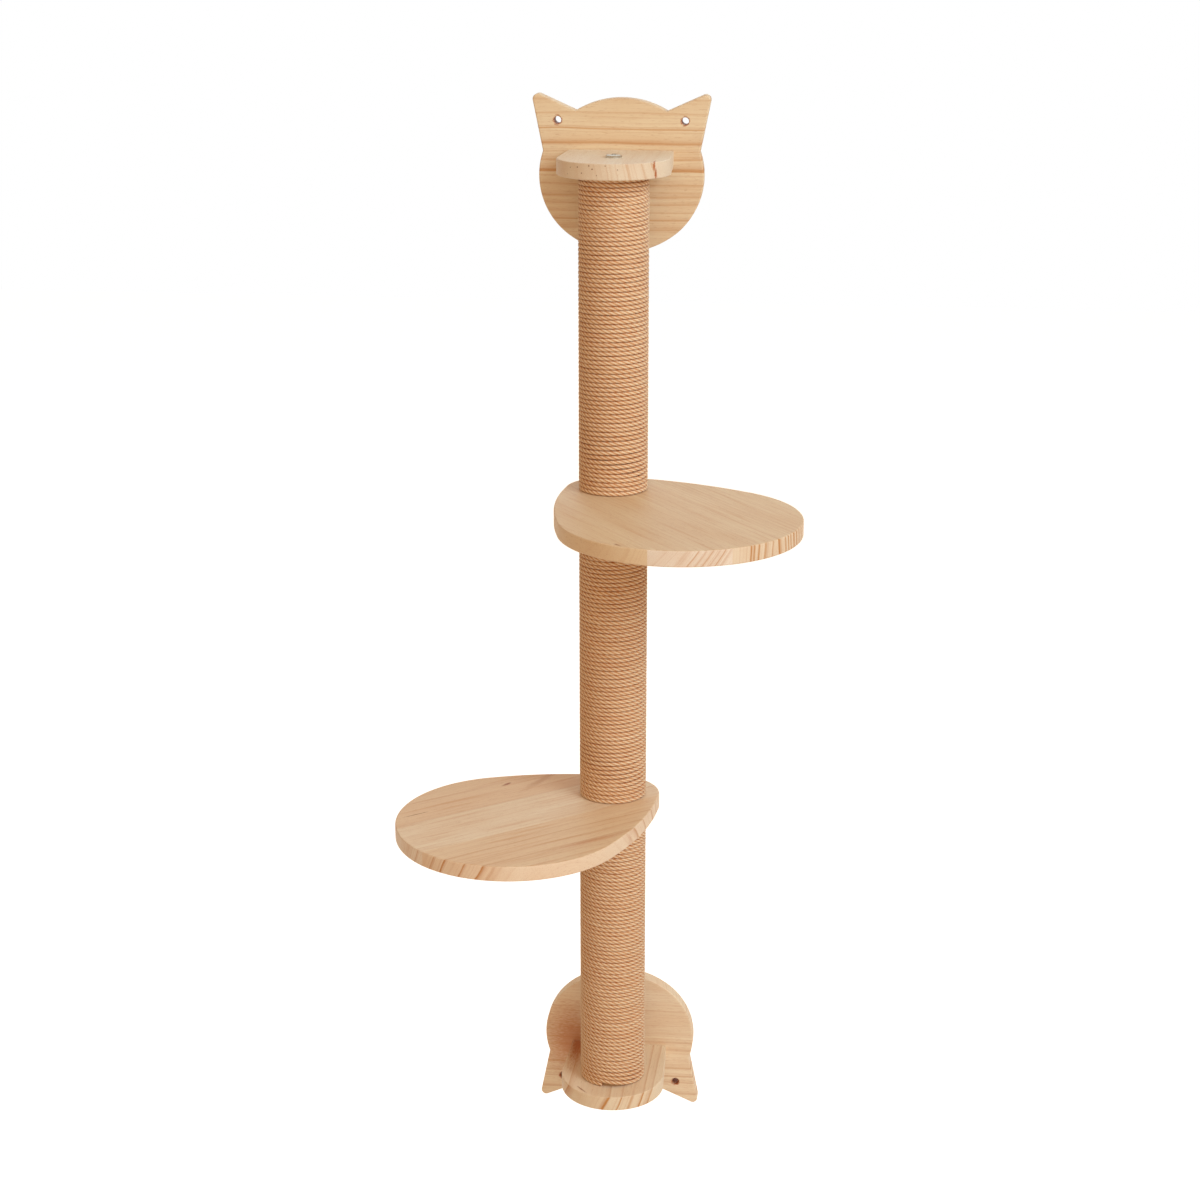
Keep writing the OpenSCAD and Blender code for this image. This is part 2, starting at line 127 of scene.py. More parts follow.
class NodeBench:
    """A node tree, with short calls for the nodes that the finishes and the studio use."""

    def __init__(self, tree: bpy.types.NodeTree) -> None:
        """Takes up a node tree.

        Args:
            tree: The tree to work in.
        """
        self.tree = tree

    def feed(self, node: bpy.types.Node, inputs: Inputs) -> None:
        """Links or sets a node's inputs.

        Args:
            node: The node.
            inputs: Output sockets and plain values, by the inputs' names or in their order.
        """
        for key, value in inputs.items() if isinstance(inputs, dict) else enumerate(inputs):
            if isinstance(value, bpy.types.NodeSocket):
                self.tree.links.new(value, node.inputs[key])
            else:
                node.inputs[key].default_value = value

    def add(self, kind: str, inputs: Inputs = (), **settings: object) -> bpy.types.Node:
        """Adds a node.

        Args:
            kind: Blender's name of the node type, without its first words.
            inputs: What feed takes.
            **settings: Properties to set on the node.

        Returns:
            The new node.
        """
        node = self.tree.nodes.new(f"ShaderNode{kind}")
        for name, value in settings.items():
            setattr(node, name, value)
        self.feed(node, inputs)
        return node

    def maths(self, operation: str, *values: Value) -> Socket:
        """Works one to three values into one."""
        return self.add("Math", values, operation=operation).outputs[0]

    def spread(self, value: Value, low: float, high: float, to_low: float, to_high: float) -> Socket:
        """Maps one range on another and stays inside it.

        Args:
            value: The value to map.
            low: Start of the first range.
            high: End of the first range.
            to_low: What the start becomes.
            to_high: What the end becomes.

        Returns:
            The result's socket.
        """
        return self.add("MapRange", (value, low, high, to_low, to_high)).outputs[0]

    def placed(
        self,
        vector: Socket,
        place: Sequence[float] = (0, 0, 0),
        turn: Sequence[float] = (0, 0, 0),
        scale: Sequence[float] = (1, 1, 1),
    ) -> Socket:
        """Reads a point in the frame of something that is placed, turned and scaled.

        Args:
            vector: The point.
            place: Where the frame's origin lies.
            turn: How the frame is turned, in degrees about x, y and z.
            scale: Length of the frame's units.

        Returns:
            The point's socket in that frame.
        """
        angles = [math.radians(angle) for angle in turn]
        inputs = {"Vector": vector, "Location": place, "Rotation": angles, "Scale": scale}
        return self.add("Mapping", inputs, vector_type="TEXTURE").outputs[0]

    def parts(self, vector: Socket) -> tuple[Socket, Socket, Socket]:
        """Splits a vector into its three parts."""
        return tuple(self.add("SeparateXYZ", (vector,)).outputs)

    def joined(self, *values: Value) -> Socket:
        """Joins up to three values to a vector."""
        return self.add("CombineXYZ", values).outputs[0]

    def size(self, vector: Socket) -> Socket:
        """Gives a vector's length."""
        return self.add("VectorMath", (vector,), operation="LENGTH").outputs["Value"]

    def noise(self, spot: Socket, scale: Sequence[float], detail: float = 2.0, rough: float = 0.5) -> Socket:
        """Adds soft noise.

        Args:
            spot: The point to read it at.
            scale: How many blots fit in a unit along each axis.
            detail: How many finer layers it has.
            rough: How strong the finer layers are.

        Returns:
            The noise's socket, about 0 to 1.
        """
        spot = self.add("VectorMath", (spot, scale), operation="MULTIPLY").outputs[0]
        inputs = {"Vector": spot, "Scale": 1.0, "Detail": detail, "Roughness": rough}
        return self.add("TexNoise", inputs).outputs["Fac"]

    def swung(self, noise: Socket, size: float, value: Value = 0.0) -> Socket:
        """Lets a noise swing a value.

        Args:
            noise: The noise.
            size: How far the value swings between the noise's ends.
            value: The value in the middle.

        Returns:
            The result's socket.
        """
        return self.maths("MULTIPLY_ADD", self.maths("SUBTRACT", noise, 0.5), size, value)

    def ramp(self, factor: Value, stops: Sequence[tuple[float, Colour]], ease: str = "LINEAR") -> Socket:
        """Adds a colour ramp.

        Args:
            factor: Where to read it, from 0 to 1.
            stops: Places and colours.
            ease: How it goes from one stop to the next.

        Returns:
            The colour's socket.
        """
        node = self.add("ValToRGB", (factor,))
        node.color_ramp.interpolation = ease
        elements = node.color_ramp.elements
        while len(elements) < len(stops):
            elements.new(1.0)
        for element, (place, colour) in zip(elements, stops):
            element.position = place
            element.color = colour
        return node.outputs[0]

    def mix(self, factor: Value, first: object, second: object, blend: str = "MIX") -> Socket:
        """Mixes two colours.

        Args:
            factor: Share of the second one.
            first: First colour or its socket.
            second: Second colour or its socket.
            blend: How they are mixed.

        Returns:
            The colour's socket.
        """
        inputs = {"Factor": factor, "A": first, "B": second}
        return self.add("Mix", inputs, data_type="RGBA", blend_type=blend).outputs["Result"]

    def coordinates(self, kind: str) -> Socket:
        """Gives the texture coordinates of one kind, such as Object or UV."""
        return self.add("TexCoord").outputs[kind]

    def seen_directly(self) -> Socket:
        """Tells rays of the camera, of gloss and of glass from rays of light.

        Returns:
            1 for a ray that sees the surround and 0 for one that lights the object.
        """
        rays = self.add("LightPath").outputs
        seen = self.maths("MAXIMUM", rays["Is Camera Ray"], rays["Is Glossy Ray"])
        return self.maths("MAXIMUM", seen, rays["Is Transmission Ray"])


class FinishBench(NodeBench):
    """The node tree of one finish's material."""

    def __init__(self, name: str) -> None:
        """Starts the material with its shader.

        Args:
            name: Name of the material.
        """
        self.material = bpy.data.materials.new(name)
        self.material.use_nodes = True
        super().__init__(self.material.node_tree)
        self.shader = self.tree.nodes["Principled BSDF"]

    def bump(self, height: Socket, strength: float, depth: float) -> None:
        """Puts relief on the shader.

        Args:
            height: Height from 0 to 1.
            strength: Share of the relief that is used.
            depth: Depth in metres for a height of 1.
        """
        relief = self.add("Bump", {"Strength": strength, "Distance": depth, "Height": height})
        self.feed(self.shader, {"Normal": relief.outputs["Normal"]})

    def finished(self, inputs: dict[str, object]) -> bpy.types.Material:
        """Sets the shader and gives the material.

        Args:
            inputs: The shader's inputs by name.

        Returns:
            The finished material.
        """
        self.feed(self.shader, inputs)
        return self.material


@dataclass(frozen=True)
class GrainLine:
    """A dark line of late wood that runs along a board, in millimetres.

    Attributes:
        place: Where its sharp side lies across the board.
        fade: Width of its soft side, negative where that lies below.
        strength: How dark it is, from 0 to 1.
    """

    place: float
    fade: float
    strength: float


def laid(*lines: tuple[float, float, float]) -> tuple[GrainLine, ...]:
    """Makes grain lines from their places, fades and strengths."""
    return tuple(GrainLine(*line) for line in lines)


@dataclass(frozen=True)
class Mark:
    """A knot, a dark streak or a patch of painted shade on a board, in millimetres.

    Attributes:
        along: Its middle along the board.
        across: Its middle across the board.
        length: Half its length.
        width: Half its width.
        turn: Its angle to the grain in degrees.
        strength: How dark it is, from 0 to 1.
        bend: How much the grain flows round it.
        colour: Its colour.
        through: Its middle through the thickness.
        depth: Half its reach through the thickness.
    """

    along: float
    across: float
    length: float
    width: float
    turn: float
    strength: float
    bend: float = 1.0
    colour: Colour = srgb(150, 92, 52)
    through: float = 0.0
    depth: float = 400.0


@dataclass(frozen=True)
class Stave:
    """One of the staves that a board is glued up from.

    Attributes:
        start: Where it starts across the board, in millimetres.
        tint: Its tint.
        slant: How far a line moves across it for each millimetre of thickness.
    """

    start: float
    tint: Colour
    slant: float


@dataclass(frozen=True)
class PineFinish:
    """Sanded pine with its own grain lines, knots and end grain, and some painted light and shade.

    The board's frame has x along the grain, y across it and z through the thickness.

    Attributes:
        name: Name of the material.
        place: Origin of the board's frame, in metres.
        turn: Turn of that frame about x, y and z, in degrees.
        pale: Colour of the early wood.
        late: Colour of the late wood.
        streak_depth: How strong the soft streaks of the broad faces are.
        lines: Grain lines that stand out.
        marks: Knots, streaks and patches of painted shade.
        staves: The staves that it is glued up from, if they show.
        stave_faces: How far the staves' tints show on the broad faces.
        slant: How far a line moves across for each millimetre of thickness.
        ring_width: Mean width of the fine rings, in millimetres.
        ring_depth: How dark the fine rings are, from 0 to 1.
        wave: How far the lines wander, in millimetres.
        face_tone_and_light: Tint of the broad faces, partly their own tone and partly painted light and shade
            for how the light falls on them.
        face_depth: How strong the lines are on faces along the grain.
        end_depth: How strong they are where the grain ends.
        roughness: Roughness of the surface.
        half_width: Half the width that the lines are laid out on.
        line_edge: Width of a grain line's sharp side, in millimetres.
    """

    name: str
    place: tuple[float, float, float]
    turn: tuple[float, float, float]
    pale: Colour = srgb(235, 216, 182)
    late: Colour = srgb(200, 142, 82)
    streak_depth: float = 0.2
    lines: tuple[GrainLine, ...] = ()
    marks: tuple[Mark, ...] = ()
    staves: tuple[Stave, ...] = ()
    stave_faces: float = 1.0
    slant: float = 0.3
    ring_width: float = 4.0
    ring_depth: float = 0.35
    wave: float = 1.6
    face_tone_and_light: Colour = (1, 1, 1, 1)
    face_depth: float = 1.0
    end_depth: float = 1.8
    roughness: float = 0.55
    half_width: float = 130.0
    line_edge: float = 0.6

    def share_at(self, place: float) -> float:
        """Gives a place across the board as a share of the width that the lines are laid out on."""
        return (place + self.half_width) / (2 * self.half_width)

    def line_stops(self, lines: Sequence[GrainLine]) -> list[tuple[float, Colour]]:
        """Lays some grain lines out as stops of a ramp across the board.

        Each line is dark on its sharp side, falls off quickly and then fades away.

        Args:
            lines: The lines, few enough for one ramp.

        Returns:
            Stops from one side of the board to the other.
        """
        places = {-self.half_width, self.half_width}
        shades = []
        for line in lines:
            sharp = math.copysign(self.line_edge, line.fade)
            knee = line.place + KNEE_PLACE * line.fade
            knots = [line.place - sharp, line.place, knee, line.place + line.fade]
            levels = [0.0, line.strength, KNEE_LEVEL * line.strength, 0.0]
            places.update(knots)
            shades.append((knots, levels) if line.fade > 0 else (knots[::-1], levels[::-1]))
        stops = []
        for place in sorted(places):
            shade = min(1.0, sum(float(np.interp(place, knots, levels)) for knots, levels in shades))
            stops.append((self.share_at(place), grey(shade)))
        return stops

    def material(self) -> bpy.types.Material:
        """Builds the finished material."""
        return PineBench(self).drawn()


class PineBench(FinishBench):
    """Draws the pine of one board, in millimetres of the board's frame."""

    def __init__(self, pine: PineFinish) -> None:
        """Starts the material and finds the point in the board's frame.

        Args:
            pine: The pine to draw.
        """
        super().__init__(pine.name)
        self.pine = pine
        self.point = self.placed(self.coordinates("Object"), pine.place, pine.turn, (MM, MM, MM))
        _, self.across, self.through = self.parts(self.point)

    def drawn(self) -> bpy.types.Material:
        """Draws the rings, lines, staves and marks on top of each other.

        Returns:
            The finished material.
        """
        pine = self.pine
        grain = self.grain()
        endness, broadness = self.facing()
        deeper = self.maths("MULTIPLY_ADD", endness, pine.end_depth - pine.face_depth, pine.face_depth)
        dark = self.maths("MULTIPLY", self.maths("ADD", self.rings(grain), self.grain_lines(grain)), deeper)
        late_share = self.spread(dark, 0.0, 1.0, 0.0, 1.0)
        colour = self.mix(late_share, pine.pale, pine.late)
        colour = self.toned(self.mix(broadness, colour, self.streaked(colour)))
        if pine.staves:
            cover = self.maths("MULTIPLY_ADD", broadness, pine.stave_faces - 1.0, 1.0)
            colour = self.mix(cover, colour, self.by_stave([stave.tint for stave in pine.staves]), "MULTIPLY")
        for mark in pine.marks:
            colour = self.mix(self.mark_shade(mark), colour, mark.colour)
        fibre = self.noise(self.point, (0.05, 2.2, 2.2))
        self.bump(self.maths("MULTIPLY_ADD", late_share, 0.5, fibre), 0.35, 0.0002)
        return self.finished({"Base Color": colour, "Roughness": pine.roughness, "Specular IOR Level": 0.35})

    def grain(self) -> Socket:
        """Lets the grain wander, slant through the thickness and flow round knots.

        Returns:
            The place across the grain, in millimetres.
        """
        pine = self.pine
        shift = self.swung(self.noise(self.point, (0.006, 0.018, 0.02), 1.0), 5 * pine.wave)
        shift = self.swung(self.noise(self.point, (0.02, 0.1, 0.1), 1.0), pine.wave, shift)
        for mark in pine.marks:
            if mark.bend:
                shift = self.maths("ADD", shift, self.bulge(mark))
        slant = self.stave_slant() if pine.staves else pine.slant
        return self.maths("ADD", self.maths("MULTIPLY_ADD", self.through, slant, self.across), shift)

    def by_stave(self, colours: Sequence[Colour]) -> Socket:
        """Gives each stave a colour of its own.

        Args:
            colours: The staves' colours.

        Returns:
            The colour's socket.
        """
        share = self.spread(self.across, -self.pine.half_width, self.pine.half_width, 0.0, 1.0)
        places = [self.pine.share_at(stave.start) for stave in self.pine.staves]
        return self.ramp(share, list(zip(places, colours)), "CONSTANT")

    def stave_slant(self) -> Socket:
        """Tells how the rings slant in each stave.

        Returns:
            How far a line moves across for each millimetre of thickness.
        """
        levels = [(stave.slant + STEEPEST_SLANT) / (2 * STEEPEST_SLANT) for stave in self.pine.staves]
        shade = self.by_stave([grey(level) for level in levels])
        return self.maths("MULTIPLY_ADD", shade, 2 * STEEPEST_SLANT, -STEEPEST_SLANT)

    def rings(self, grain: Socket) -> Socket:
        """Draws the fine growth rings, each of its own width and strength.

        Args:
            grain: The place across the grain.

        Returns:
            How dark the rings are.
        """
        drift = self.maths("MULTIPLY", self.noise(self.joined(grain), (0.06, 1.0, 1.0), 1.0), 6.0)
        count = self.maths("MULTIPLY_ADD", grain, 1 / self.pine.ring_width, drift)
        ring = self.maths("FLOOR", count)
        share = self.maths("SUBTRACT", count, ring)
        stops = [(0.0, grey(0.0)), (0.55, grey(0.08)), (0.9, grey(1.0)), (1.0, grey(0.0))]
        chance = self.add("TexWhiteNoise", {"W": ring}, noise_dimensions="1D").outputs["Value"]
        strength = self.spread(chance, 0.0, 1.0, 0.15, 1.0)
        shade = self.maths("MULTIPLY", self.ramp(share, stops, "EASE"), strength)
        return self.maths("MULTIPLY", shade, self.pine.ring_depth)

    def grain_lines(self, grain: Socket) -> Value:
        """Draws the grain lines that stand out.

        Args:
            grain: The place across the grain.

        Returns:
            How dark the lines are.
        """
        pine = self.pine
        place = self.spread(grain, -pine.half_width, pine.half_width, 0.0, 1.0)
        shade: Value = 0.0
        for first in range(0, len(pine.lines), LINES_PER_RAMP):
            stops = pine.line_stops(pine.lines[first : first + LINES_PER_RAMP])
            shade = self.maths("ADD", shade, self.ramp(place, stops))
        return shade

    def facing(self) -> tuple[Socket, Socket]:
        """Tells which way the surface faces.

        Returns:
            Share of end grain, and share of the board's broad faces.
        """
        normal = self.placed(self.coordinates("Normal"), turn=self.pine.turn)
        lengthwise, _, through = self.parts(normal)
        end = self.spread(self.maths("ABSOLUTE", lengthwise), 0.35, 0.95, 0.0, 1.0)
        broad = self.spread(self.maths("ABSOLUTE", through), 0.5, 0.95, 0.0, 1.0)
        return end, broad

    def streaked(self, colour: Socket) -> Socket:
        """Tints the broad faces, partly with painted light, and adds soft streaks along the grain.

        Args:
            colour: The colour so far.

        Returns:
            The tinted colour.
        """
        # Partly painted light: the broad faces' tint also stands in for how the light falls on them.
        colour = self.mix(1.0, colour, self.pine.face_tone_and_light, "MULTIPLY")
        streak = self.noise(self.point, (0.011, 0.22, 0.15), rough=0.6)
        share = self.spread(streak, 0.5, 0.72, 0.0, self.pine.streak_depth)
        return self.mix(share, colour, srgb(226, 184, 138), "MULTIPLY")

    def toned(self, colour: Socket) -> Socket:
        """Adds broad tone changes, fibres and small resin flecks.

        Args:
            colour: The colour so far.

        Returns:
            The toned colour.
        """
        broad = self.spread(self.noise(self.point, (0.008, 0.045, 0.03)), 0.3, 0.75, 0.0, 0.26)
        fibre = self.spread(self.noise(self.point, (0.03, 1.6, 1.6), 3.0, 0.6), 0.35, 0.75, 0.0, 0.18)
        fleck = self.spread(self.noise(self.point, (0.16, 2.6, 2.6), 1.0), 0.62, 0.74, 0.0, 0.4)
        colour = self.mix(broad, colour, srgb(224, 176, 124), "MULTIPLY")
        colour = self.mix(fibre, colour, srgb(212, 172, 130), "MULTIPLY")
        return self.mix(fleck, colour, srgb(196, 140, 90), "MULTIPLY")

    def bulge(self, mark: Mark) -> Socket:
        """Bends the grain round a knot.

        Args:
            mark: The knot.

        Returns:
            How far the grain moves across, in millimetres.
        """
        reach = (5 * mark.length, 5 * mark.width, 400)
        near = self.placed(self.point, (mark.along, mark.across, 0), scale=reach)
        swell = self.spread(self.size(near), 0.0, 1.0, 1.0, 0.0)
        side = self.maths("MULTIPLY", self.parts(near)[1], -2.2 * mark.width * mark.bend)
        return self.maths("MULTIPLY", self.maths("MULTIPLY", swell, swell), side)

    def mark_shade(self, mark: Mark) -> Socket:
        """Draws a knot, a streak or a patch of painted shade.

        Args:
            mark: The knot or streak.

        Returns:
            How dark it is, from 0 to 1.
        """
        middle = (mark.along, mark.across, mark.through)
        reach = (mark.length, mark.width, mark.depth)
        near = self.size(self.placed(self.point, middle, (0, 0, mark.turn), reach))
        uneven = self.swung(self.noise(self.point, (0.25, 0.9, 0.9)), 0.9, near)
        return self.spread(uneven, 0.25, 1.0, mark.strength, 0.0)


@dataclass(frozen=True)
class JuteFinish:
    """Twisted jute, read along and round the rope from the winding's own map.

    Attributes:
        name: Name of the material.
        length: Length of the rope in metres.
        inner: Distance from the post's axis at which two turns meet, in metres.
        outer: Distance from that axis of the turns' crests, in metres.
        strands: Number of strands.
        cavity_shade: Painted shade where two turns meet.
        groove: Painted shade deep between the strands.
        body: Colour of the strands.
        crest: Painted highlight on the strands' crests.
    """

    name: str
    length: float
    inner: float
    outer: float
    strands: int = 4
    cavity_shade: Colour = srgb(197, 120, 64)
    groove: Colour = srgb(208, 150, 101)
    body: Colour = srgb(230, 195, 154)
    crest: Colour = srgb(244, 220, 186)

    def material(self) -> bpy.types.Material:
        """Builds the material.

        Returns:
            The finished material.
        """
        bench = FinishBench(self.name)
        run, turn, _ = bench.parts(bench.coordinates("UV"))
        along = bench.maths("MULTIPLY", run, self.length / MM)
        strand = bench.maths("FRACT", bench.maths("MULTIPLY", turn, float(self.strands)))
        rise = bench.maths("SINE", bench.maths("MULTIPLY", strand, math.pi))
        yarn = bench.joined(along, bench.maths("MULTIPLY", turn, 13.0))
        fibre = bench.noise(yarn, (0.22, 3.2, 1.0), 3.0, 0.65)
        lift = bench.swung(fibre, 0.9, rise)
        lift = bench.swung(bench.noise(yarn, (0.05, 0.6, 1.0)), 0.5, lift)
        # Painted shade and highlight: each strand runs from the groove colour at its sides to the crest
        # colour on top, with the fibre noise on it.
        colour = bench.ramp(lift, [(0.1, self.groove), (0.55, self.body), (1.0, self.crest)], "EASE")
        batch = bench.noise(bench.joined(along), (0.0035, 1.0, 1.0))
        colour = bench.mix(bench.spread(batch, 0.35, 0.7, 0.0, 0.3), colour, srgb(224, 178, 128), "MULTIPLY")
        # Painted shade: the cavity colour darkens the rope where two turns meet.
        colour = bench.mix(self.depth(bench), colour, self.cavity_shade)
        bench.bump(fibre, 0.5, 0.0003)
        sheen = {"Roughness": 0.85, "Specular IOR Level": 0.2, "Sheen Weight": 0.25}
        return bench.finished({"Base Color": colour, **sheen})

    def depth(self, bench: FinishBench) -> Socket:
        """Tells how deep between two turns a point lies, for the shade painted there.

        Args:
            bench: The material's bench.

        Returns:
            0 on the crests and up to 1 where two turns meet.
        """
        point = bench.coordinates("Object")
        x, y, _ = bench.parts(bench.placed(point, (0, POST_Y, 0)))
        reach = bench.maths("SQRT", bench.maths("MULTIPLY_ADD", x, x, bench.maths("MULTIPLY", y, y)))
        shade = bench.spread(bench.noise(point, (90, 90, 260)), 0.3, 0.65, 0.35, 0.95)
        return bench.maths("MULTIPLY", bench.spread(reach, self.inner, self.outer, 1.0, 0.0), shade)


@dataclass(frozen=True)
class KraftFinish:
    """Brown paper wound in a spiral, with a seam between the windings.

    Attributes:
        name: Name of the material.
        seam_pitch: Height of one winding in metres.
    """

    name: str = "kraft paper"
    seam_pitch: float = 0.06

    def material(self) -> bpy.types.Material:
        """Builds the material.

        Returns:
            The finished material.
        """
        bench = FinishBench(self.name)
        point = bench.placed(bench.coordinates("Object"), (0, POST_Y, 0))
        x, y, z = bench.parts(point)
        turn = bench.maths("DIVIDE", bench.maths("ARCTAN2", y, x), 2 * math.pi)
        seam = bench.maths("PINGPONG", bench.maths("MULTIPLY_ADD", z, 1 / self.seam_pitch, turn), 0.5)
        pulp = bench.noise(point, (900, 900, 300), 4.0, 0.7)
        colour = bench.mix(pulp, srgb(160, 124, 88), srgb(198, 164, 126))
        colour = bench.mix(bench.spread(seam, 0.0, 0.012, 0.7, 0.0), colour, srgb(104, 76, 50))
        bench.bump(pulp, 0.3, 0.0002)
        return bench.finished({"Base Color": colour, "Roughness": 0.9})


@dataclass(frozen=True)
class ZincFinish:
    """Zinc-plated steel with a fine turned grain and small dull spots.

    Attributes:
        name: Name of the material.
        colour: Colour of the plating.
        roughness: Mean roughness.
    """

    name: str = "zinc steel"
    colour: Colour = srgb(204, 197, 184)
    roughness: float = 0.26

    def material(self) -> bpy.types.Material:
        """Builds the material.

        Returns:
            The finished material.
        """
        bench = FinishBench(self.name)
        point = bench.coordinates("Object")
        dull = bench.spread(bench.noise(point, (420, 420, 420), 3.0), 0.4, 0.7, 0.0, 0.5)
        scratch = bench.noise(point, (2400, 300, 2400))
        rough = bench.spread(scratch, 0.3, 0.7, self.roughness - 0.06, self.roughness + 0.12)
        colour = bench.mix(dull, self.colour, srgb(186, 184, 180))
        bench.bump(scratch, 0.15, 0.00005)
        return bench.finished({"Base Color": colour, "Roughness": rough, "Metallic": 1.0})


def alone(piece: bpy.types.Object) -> None:
    """Selects one object and makes it active.

    Args:
        piece: The object.
    """
    bpy.ops.object.select_all(action="DESELECT")
    piece.select_set(True)
    bpy.context.view_layer.objects.active = piece


def copied_node(node: str, name: str, cuts: Sequence[float] = ()) -> bpy.types.Object:
    """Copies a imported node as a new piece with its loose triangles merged.

    Args:
        node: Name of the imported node.
        name: Name of the new piece.
        cuts: Where flat faces stay split along x, in metres, so that no face goes round a hole.

    Returns:
        The new piece, with flat faces dissolved into single ones between the cuts.
    """
    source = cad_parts[node]
    piece = bpy.data.objects.new(name, source.data.copy())
    bpy.context.scene.collection.objects.link(piece)
    piece.data.name = name
    piece.data.materials.clear()
    alone(piece)
    bpy.ops.object.mode_set(mode="EDIT")
    bpy.ops.mesh.select_all(action="SELECT")
    bpy.ops.mesh.remove_doubles(threshold=MERGE_REACH)
    for cut in cuts:
        bpy.ops.mesh.select_all(action="SELECT")
        bpy.ops.mesh.bisect(plane_co=(cut, 0, 0), plane_no=(1, 0, 0), threshold=MERGE_REACH)
        bpy.ops.mesh.mark_seam()
    bpy.ops.mesh.select_all(action="SELECT")
    bpy.ops.mesh.dissolve_limited(angle_limit=FLAT_BELOW, delimit={"SEAM"})
    bpy.ops.mesh.select_all(action="DESELECT")
    bpy.ops.object.mode_set(mode="OBJECT")
    return piece


def ease_edges(piece: bpy.types.Object, width: float, chosen: Callable[[Vector, list[Vector]], bool]) -> None:
    """Rounds the chosen edges over.

    Args:
        piece: The piece to shape.
        width: Width of the rounding in metres.
        chosen: Takes an edge's middle and the normals of its two faces and says if it is rounded.
    """
    mesh = piece.data
    faces_of: dict[tuple[int, int], list[Vector]] = {}
    for face in mesh.polygons:
        for key in face.edge_keys:
            faces_of.setdefault(key, []).append(face.normal.copy())
    alone(piece)
    bpy.ops.object.mode_set(mode="EDIT")
    bpy.ops.mesh.select_mode(type="EDGE")
    bpy.ops.mesh.select_all(action="DESELECT")
    bpy.ops.object.mode_set(mode="OBJECT")
    for edge in mesh.edges:
        start, end = (mesh.vertices[i].co for i in edge.vertices)
        normals = faces_of.get(edge.key, [])
        edge.select = len(normals) == 2 and chosen((start + end) / 2, normals)
    bpy.ops.object.mode_set(mode="EDIT")
    bpy.ops.mesh.bevel(offset=width, segments=EDGE_SEGMENTS, affect="EDGES", clamp_overlap=False)
    bpy.ops.mesh.select_all(action="DESELECT")
    bpy.ops.object.mode_set(mode="OBJECT")
    bpy.ops.object.shade_smooth_by_angle(angle=SMOOTH_BELOW)
    weighted = piece.modifiers.new("even shading", "WEIGHTED_NORMAL")
    weighted.keep_sharp = True
    weighted.weight = 100
    bpy.ops.object.modifier_apply(modifier=weighted.name)


def finish_piece(
    piece: bpy.types.Object, material: bpy.types.Material, body: Body, slot: Slot, *nodes: str
) -> None:
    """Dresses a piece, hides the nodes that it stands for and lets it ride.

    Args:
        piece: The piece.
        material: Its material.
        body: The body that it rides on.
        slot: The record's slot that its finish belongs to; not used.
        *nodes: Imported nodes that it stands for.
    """
    piece.data.materials.clear()
    piece.data.materials.append(material)
    if nodes:
        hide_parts(*nodes)
    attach(piece, body.value)
    log.info("%s: %d faces on %s", piece.name, len(piece.data.polygons), body.value)


def dress_node(node: str, material: bpy.types.Material) -> None:
    """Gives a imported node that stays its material.

    Args:
        node: Name of the node.
        material: The material.
    """
    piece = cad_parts[node]
    if not piece.material_slots:
        piece.data.materials.append(material)
    for holder in piece.material_slots:
        holder.link = "OBJECT"
        holder.material = material
    log.info("%s keeps its packed shape, in %s", node, material.name)


@dataclass
class Board:
    """A sanded board whose outline is eased on both faces.

    Attributes:
        node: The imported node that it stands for.
        body: The body that it rides on.
        slot: The record's slot of its finish.
        finish: Its pine.
        face_normal: Direction of its broad faces.
        ease: Width of the rounded edges in metres.
        holes: Centres of holes whose mouths stay sharp.
        cuts: Where its broad faces stay split along x, in metres.
    """

    node: str
    body: Body
    slot: Slot
    finish: PineFinish
    face_normal: Vector
    ease: float = 1.3 * MM
    holes: Sequence[Vector] = ()
    cuts: Sequence[float] = ()

    def is_outline(self, middle: Vector, normals: list[Vector]) -> bool:
        """Says if an edge belongs to the board's outline.

        Args:
            middle: The edge's middle.
            normals: The normals of its two faces.

        Returns:
            True on the outline of a broad face.
        """
        flat = [abs(normal.dot(self.face_normal)) for normal in normals]
        if max(flat) < FLAT_SHARE or min(flat) > ASIDE_SHARE:
            return False
        for hole in self.holes:
            offset = middle - hole
            offset -= self.face_normal * offset.dot(self.face_normal)
            if offset.length < MOUTH_REACH:
                return False
        return True

    def build(self) -> None:
        """Makes the board with its eased outline and its pine."""
        piece = copied_node(self.node, f"{self.node}_board", self.cuts)
        ease_edges(piece, self.ease, self.is_outline)
        finish_piece(piece, self.finish.material(), self.body, self.slot, self.node)


class Level(Enum):
    """The levels of the column from the top down."""

    UPPER = "upper"
    MIDDLE = "middle"
    LOWER = "lower"


@dataclass(frozen=True)
class Wander:
    """A slow random change along the rope that is the same in each run.

    Attributes:
        size: How far it goes either way.
        knots: Number of random values that it passes through.
        seed_step: What its seed adds to the winding's.
    """

    size: float
    knots: int
    seed_step: int

    def along(self, count: int, seed: int) -> np.ndarray:
        """Works the change out.

        Args:
            count: Number of points on the rope.
            seed: The winding's seed.

        Returns:
            The change at each point.
        """
        values = np.random.RandomState(seed + self.seed_step).uniform(-1, 1, self.knots)
        return self.size * np.interp(np.linspace(0, self.knots - 1, count), np.arange(self.knots), values)


